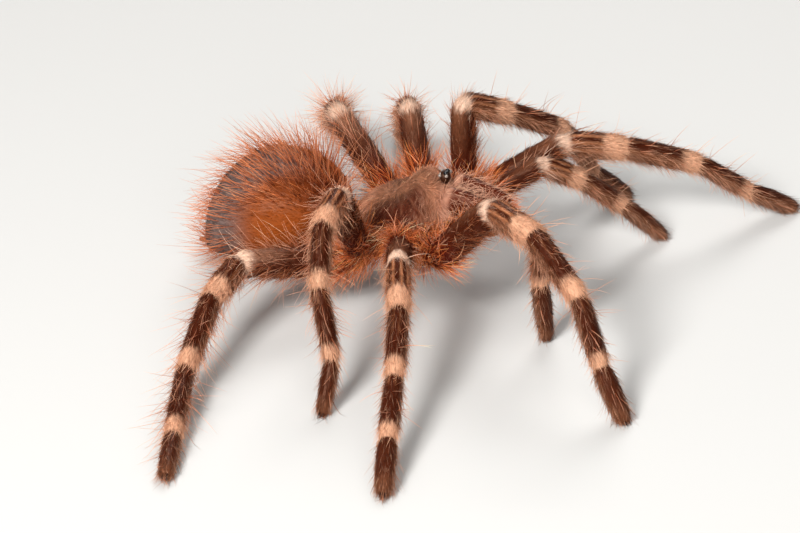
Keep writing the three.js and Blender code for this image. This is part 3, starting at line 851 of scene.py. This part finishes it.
def put_skin():
    """All skin surfaces in one mesh, each closed and sunk into the next where they meet."""
    sheets = [(on(a), marks_of(a), 44, 170) for a in LIMBS.values()]
    sheets += [(on(a), jaw_marks, 32, 40) for a in JAWS]
    sheets += [(on(a), plain(ASH), 20, 20) for a in SPINNERETS]
    sheets += [(carapace_skin, carapace_marks, 120, 70), (sternum_skin, plain(SOOT), 40, 24),
               (abdomen_skin, abdomen_marks, 100, 80), (waist_skin, plain(DEEP_RED), 24, 20),
               (tubercle_skin, plain(SOOT), 32, 20)]
    points, faces, tints = [], [], []
    for surface, marks, around, down in sheets:
        p, f, places = grid_mesh(surface, around, down)
        points.append(p)
        faces.append(f)
        tints.append(marks(*places.T) * SKIN_SHADE)
    skin = put_mesh("skin", *stack(points, faces), np.concatenate(tints))
    place_piece(skin, SKIN, [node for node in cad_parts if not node.startswith("fang_")])


# ---------- the coats ----------

# Every kind of hair is given by its number per mm2, where it grows, its length, width, lift and curl,
# and its steps along. Here: the size of a pair's bristles, and their number.
BRISTLES = {"3": (1.2, 0.384), "4": (1.7, 0.544)}
FRONT_BRISTLES = (0.85, 0.17)


def everywhere(u, v):
    """A weight of 1 all over."""
    return np.ones(u.shape)


def by_part(a, others=1.0, sides=(1, 1, 0, 1), **table):
    """A weight from a table of a limb's parts, times one that changes from its back to its sides.

    sides is the weight on the back, the weight beneath, and the degrees between which it changes.
    """
    values = np.array([table.get(part, others) for part in a.parts])
    back, beneath, start, end = sides

    def weight(u, v):
        return values[along_limb(a, u)[1]] * (back + (beneath - back) * smooth(start, end, off_back(v)))

    return weight


def put_limb_coat(name, seed):
    """Short flat velvet, streaks of longer hair, a fringe along both sides, and long upright bristles.

    The streaks stand up more towards the end of each part.
    """
    a = LIMBS[name]
    coat = Coat(name.replace("_", "_coat_"), seed)
    grow = partial(coat.grow, on(a), marks_of(a))
    bristle = dict(towards=(0.9, 0.95), other=(RUST, STRAND))
    thigh = by_part(a, 0, (0, 1, 50, 85), femur=1.0, coxa=0.2)

    def cup(u):
        return 13 + 13 * smooth(0.5, 1.0, along_limb(a, u)[2])

    def under_thigh(u, v):
        return thigh(u, v) * (0.25 + 0.75 * smooth(0.15, 0.5, along_limb(a, u)[2]))

    grow(10.0, by_part(a, coxa=0.4, femur=0.85), (1.5, 0.35), (0.11, 0.01), (11, 5), (-4, 6), 1, spread=8,
         swirl=5, root=0.55, tip=1.5, vary=0.28)
    grow(3.2, by_part(a, 1, (0.55, 1, 30, 90), coxa=0.3, femur=0.3, tarsus=0.8), (2.9, 0.7), (0.09, 0.01),
         (cup, 6), (-8, 8), 2, spread=9, swirl=7, fall=0.1, root=0.6, towards=(0.05, 0.5),
         other=(RUST, PALE), blend=0.9, vary=0.3)
    grow(3.0, by_part(a, 1, (0, 1, 50, 90), coxa=0, femur=0, tarsus=0.5), (3.2, 0.8), (0.09, 0.01),
         (28, 10), (-4, 14), 3, spread=13, swirl=8, fall=0.4, towards=(0.6, 0.9), other=(ASH, PALE),
         blend=0.4)
    grow(2.0, under_thigh, (4.4, 1.0), (0.09, 0.01), (19, 10), (6, 18), 4, spread=11, swirl=12, fall=0.5,
         towards=(0.7, 0.85), other=(RUST, STRIPE), blend=0.3)
    grow(7.0, by_part(a, 0, (0, 1, 60, 95), metatarsus=0.5, tarsus=1.0), (1.3, 0.25), (0.10, 0.01),
         (38, 10), (-8, 10), 1, spread=14, towards=(0.4, 0.8), other=(ASH, PAD), blend=0.3)
    size, number = BRISTLES.get(a.pair, FRONT_BRISTLES)
    grow(number, by_part(a, coxa=0.2, femur=0.75, patella=0.9, tarsus=0.25), (4.4 * size, 1.2 * size),
         (0.12, 0.02), (42, 13), (-6, 18), 4, spread=22, **bristle)
    grow(0.06, by_part(a, 1, (1, 0.3, 60, 100), coxa=0, femur=0.3, tarsus=0), (7.5, 1.3), (0.13, 0.015),
         (72, 8), (-18, 14), 5, spread=30, **bristle)
    coat.put(LEG_HAIR, [f"{name}_{part}" for part in a.parts[1:]])


def put_abdomen_coat():
    """Velvet all over, and long bristles, dense on the back and rear, that lean back more behind."""
    coat = Coat("abdomen_coat", 40)
    rear = abdomen_point((-1, 0, 0.35)) - abdomen_point((0, 0, 0))

    def backwards(point, ahead):
        return rear + 0.25 * ahead

    def front_back(u, v):
        return (1 - smooth(40, 80, off_back(v))) * (1 - smooth(0.45, 0.65, u))

    def above(u, v):
        off = off_back(v)
        sides = 0.05 + 0.95 * (1 - smooth(35, 75, off)) + 0.4 * smooth(95, 120, off)
        return np.maximum(np.minimum(sides, 1), smooth(0.42, 0.55, u)) * (1 - 0.45 * smooth(0.3, 0.5, u))

    def lift(u):
        return 76 - 40 * smooth(0.1, 0.75, u)

    grow = partial(coat.grow, abdomen_skin, abdomen_marks, lie_of=backwards)
    grow(8.0, everywhere, (1.7, 0.3), (0.14, 0.02), (11, 4), (-4, 5), 1, root=0.88, tip=1.18, spread=8,
         swirl=6, vary=0.13)
    grow(0.8, front_back, (4.2, 1.0), (0.12, 0.015), (26, 9), (-6, 12), 3, swirl=8, towards=(0.8, 0.9),
         other=(RUST, EMBER_TIP), blend=0.2)
    grow(0.95, above, (9.0, 1.8), (0.14, 0.02), (lift, 9), (-20, 14), 5, spread=10, towards=(0.93, 0.97),
         other=(RUST, AMBER))
    coat.put(ABDOMEN_HAIR, ("abdomen", "spinneret_l", "spinneret_r"))


def put_carapace_coat():
    """Silky hair that lies flat and runs outwards from the midline, and a pale fringe on the margin."""
    coat = Coat("carapace_coat", 50)

    def upper(u, v):
        return 1 - smooth(0.53, 0.6, u)

    def silk(u, v):
        """The upper side, thin over the saddle and at the top."""
        dark = np.maximum(saddle(u, v), saddle(u + 0.06, v))
        return upper(u, v) * (1 - 0.88 * dark) * (0.5 + 0.5 * smooth(0.12, 0.25, u))

    def margin(u, v):
        return smooth(0.4, 0.48, u) * upper(u, v)

    def face(u, v):
        return smooth(0.70, 0.86, globe(u, v)[..., 0]) * smooth(0.27, 0.36, u) * upper(u, v)

    def outwards(point, ahead):
        """Away from a line along the middle, a little under the top."""
        own = (point - ORIGIN - (0, 0, BODY_HEIGHT)) @ PITCH
        own[:, 0] -= np.clip(own[:, 0], -4, 5)
        return (own - (0, 0, 5)) @ PITCH.T

    grow = partial(coat.grow, carapace_skin, carapace_marks)
    grow(15.0, upper, (1.6, 0.35), (0.11, 0.01), (10, 4), (-4, 5), 1, spread=9, swirl=10, root=0.5,
         tip=1.4, vary=0.3, lie_of=outwards)
    grow(7.5, silk, (2.5, 0.6), (0.075, 0.01), (9, 4), (-6, 5), 2, spread=8, swirl=14, root=0.9, tip=1.7,
         towards=(0.3, 0.85), other=(SHIELD, SHIELD_TIP), blend=0.7, vary=0.3, lie_of=outwards)
    grow(4.0, margin, (3.2, 0.8), (0.11, 0.01), (22, 10), (-5, 12), 3, spread=18, swirl=18,
         towards=(0.6, 0.8), other=(EMBER, EMBER_TIP), lie_of=outwards)
    grow(14.0, face, (2.9, 0.6), (0.11, 0.01), (24, 9), (-14, 10), 3, spread=16, swirl=12,
         towards=(0.75, 0.9), other=(FACE, FACE_TIP))
    coat.put(CARAPACE_HAIR, ("carapace",))


def put_jaw_coat():
    """Short pile over both chelicerae, longer curly hair in front, and a dense fringe over the fangs."""
    coat = Coat("jaw_coat", 60)

    def fringe(u, v):
        return smooth(0.6, 0.75, u) * smooth(60, 110, off_back(v))

    for i, a in enumerate(JAWS):
        grow = partial(coat.grow, on(a), jaw_marks, window=(0.5 * i, 0.5))
        grow(7.0, everywhere, (1.0, 0.25), (0.11, 0.01), (14, 6), (-5, 6), 1, swirl=10, root=0.6)
        grow(1.8, everywhere, (3.6, 0.9), (0.10, 0.01), (44, 14), (-44, 20), 5, spread=32, swirl=24,
             towards=(0.8, 0.95), other=(PALE, JAW_TIP))
        grow(9.0, fringe, (3.6, 0.7), (0.13, 0.015), (30, 12), (-10, 16), 3, spread=18,
             towards=(0.85, 0.9), other=(EMBER, EMBER_TIP))
    coat.put(JAW_HAIR, ("chelicera_l", "chelicera_r"))


def at_base(a):
    """The weight of the long hair on the end of a limb's coxa and the start of its femur."""
    end = a.start[1]

    def weight(u, v):
        s = u * a.total
        return smooth(2.5, 5.0, s) * (1 - smooth(end + 2.0, end + 5.5, s))

    return weight


def put_shoulder_coat():
    """Long orange-red hair in locks round the coxae and the leg bases, and short hair under the body."""
    coat = Coat("shoulder_coat", 70)
    windows = [(i / 12, 1 / 12) for i in range(12)]
    locks = ((2.9, (6.2, 1.3), (32, 11), (-24, 16), 10, (EMBER, EMBER_TIP), 0.4),
             (0.5, (7.4, 1.4), (42, 11), (-34, 16), 14, (EMBER_TIP, STRAND), 0.3))
    for window, a in zip(windows, LIMBS.values()):
        for number, length, lift, curl, spread, colours, vary in locks:
            coat.grow(on(a), marks_of(a), number, at_base(a), length, (0.12, 0.015), lift, curl, 4,
                      spread=spread, swirl=34, towards=(0.97, 0.97), other=colours, vary=vary, window=window)
    coat.grow(sternum_skin, plain(SOOT), 5.0, lambda u, v: smooth(0.5, 0.6, u), (1.6, 0.3),
              (0.15, 0.02), (25, 8), (-5, 8), 1, window=windows[10])
    coat.grow(waist_skin, plain(EMBER_TIP), 5.0, everywhere, (3.2, 0.8), (0.13, 0.02), (50, 12), (0, 15), 3,
              root=0.3, window=windows[11])
    coat.put(LEG_HAIR, ("sternum", "pedicel"))


# ---------- eyes, fangs and claws ----------


def put_eyes(name, rows, material):
    """Glossy balls set into the mound, one on each side for each row; the mound is taken as an ellipsoid."""
    t, seat = TUBERCLE, EYE_SEAT
    balls = []
    for x, y, radius in rows:
        near = (x * seat.slope / t.length) ** 2 + (y * seat.slope / t.width) ** 2
        z = t.z + t.rise * (math.sqrt(1 - near) * seat.rise - seat.sunk)
        for side in (1, -1):
            middle = np.array([t.x + x, side * y * seat.inwards, z])
            balls.append(lambda u, v, m=middle, r=radius: prosoma_point(globe(u, v) * r + m))
    place_piece(put_mesh(name, *join(balls, 28, 18)), material, ("eye_tubercle",))


def horn(start, along, down, length, radii, droop):
    """A thin horn: a cone along a line that bends down by droop times the sine of the way along."""
    side = np.cross(along, down)

    def surface(u, v):
        g = u[..., None]
        centre = start + along * length * g + down * droop * np.sin(np.pi * g)
        half = (radii[0] * (1 - u) + radii[1] * u) * np.sqrt(np.clip(1 - (2 * u - 1) ** 16, 0, 1))
        angle = 2 * np.pi * v
        return centre + (half * np.cos(angle))[..., None] * side + (half * np.sin(angle))[..., None] * -down

    return surface


def put_horns(name, horns, nodes):
    """Several horns in one black piece."""
    points, faces = join(horns, 14, 24)
    points[:, 2] = np.maximum(points[:, 2], CLAW_FLOOR)
    place_piece(put_mesh(name, points, faces), FANG_BLACK, nodes)


def put_fangs():
    """A curved fang folded back under the tip of each chelicera."""
    c, f, horns = CHELICERA, FANG, []
    for side in (1, -1):
        tip = np.array([c.x, side * c.y, c.z]) + heading(0, c.pitch, side) * c.length
        start = tip + (f.back, 0, -c.radii[2] * c.deep - f.radii[0] + f.sunk)
        along, up = (PITCH @ heading(180, f.rise + more, side) for more in (0, 90))
        horns.append(horn(prosoma_point(start), along, -up, f.length, f.radii, f.droop))
    put_horns("fangs", horns, ("fang_l", "fang_r"))


def put_claws():
    """Two small curved claws at the tip of every leg and one at the tip of every palp."""
    c, horns = CLAW, []
    for a in LIMBS.values():
        along, back = a.along[-1], a.back[-1]
        aside = np.cross(along, back) * c.aside
        for spot in ((0,) if a.pair == "palp" else (-1, 1)):
            start = a.joints[-1] + along * (a.cap * c.back) + aside * spot + back * c.up
            ahead = unit(along * (1, 1, 0) - (0, 0, c.dip))
            horns.append(horn(start, ahead, np.array([0, 0, 1.0]), c.length, c.radii, c.droop))
    put_horns("claws", horns, [f"{name}_tarsus" for name in LIMBS])


put_skin()
for index, limb_name in enumerate(LIMBS):
    put_limb_coat(limb_name, 10 + index)
put_abdomen_coat()
put_carapace_coat()
put_jaw_coat()
put_shoulder_coat()
put_eyes("eyes_black", EYES[:1], EYE_BLACK)
put_eyes("eyes_pearl", EYES[1:], EYE_PEARL)
put_fangs()
put_claws()

# ---------- floor, light and camera ----------

FLOOR_HALF = 4          # in metres, as are the places and sizes of the lights and the lens's clips
CAMERA = Facts(azimuth=26.4, elevation=30.7, roll=-6.0, distance=683, target=(2.63, -14.0, 12.98),
               lens=139.8, sensor=36, near=0.01, far=20)
SKY, SKY_STRENGTH = (0.80, 0.80, 0.80, 1), 0.22


def put_floor():
    """A flat pale floor at z = 0."""
    corners = np.array([(-1, -1, 0), (1, -1, 0), (1, 1, 0), (-1, 1, 0)])
    floor = put_mesh("floor", corners * FLOOR_HALF / MM, np.array([(0, 1, 2), (0, 2, 3)]))
    floor.data.materials.append(glossy("floor_pale", (0.55, 0.54, 0.52), 0.7))


def put_light(name, place, energy, size):
    """A square soft light that faces the animal."""
    light = bpy.data.lights.new(name, "AREA")
    light.energy, light.size = energy, size
    obj = add_object(name, light)
    obj.location = place
    obj.rotation_mode = "QUATERNION"
    obj.rotation_quaternion = (-obj.location).to_track_quat("-Z", "Y")


def put_world():
    """An even grey sky."""
    world = bpy.data.worlds.new("studio")
    world.use_nodes = True
    set_inputs(world.node_tree.nodes["Background"], Color=SKY, Strength=SKY_STRENGTH)
    bpy.context.scene.world = world


def put_camera():
    """Looks at the target from the azimuth and elevation, turned about its own axis by the roll."""
    a, e, r = (math.radians(angle) for angle in (CAMERA.azimuth, CAMERA.elevation, CAMERA.roll))
    back = np.array([math.sin(a) * math.cos(e), -math.cos(a) * math.cos(e), math.sin(e)])
    right = np.array([math.cos(a), math.sin(a), 0])
    up = np.cross(back, right)
    right, up = right * math.cos(r) + up * math.sin(r), up * math.cos(r) - right * math.sin(r)
    place = (np.array(CAMERA.target) + ORIGIN + back * CAMERA.distance) * MM
    camera = bpy.data.cameras.new("camera")
    camera.lens, camera.sensor_width = CAMERA.lens, CAMERA.sensor
    camera.clip_start, camera.clip_end = CAMERA.near, CAMERA.far
    obj = add_object("camera", camera)
    obj.matrix_world = Matrix([*zip(right, up, back, place), (0, 0, 0, 1)])
    bpy.context.scene.camera = obj


put_floor()
put_light("key", (-0.10, -0.80, 0.75), energy=18, size=0.35)
put_light("fill", (0.5, -0.7, 0.35), energy=4.5, size=0.7)
put_light("rim", (-0.2, 0.9, 0.9), energy=9, size=0.6)
put_world()
put_camera()
bpy.context.scene.view_settings.view_transform = "Standard"
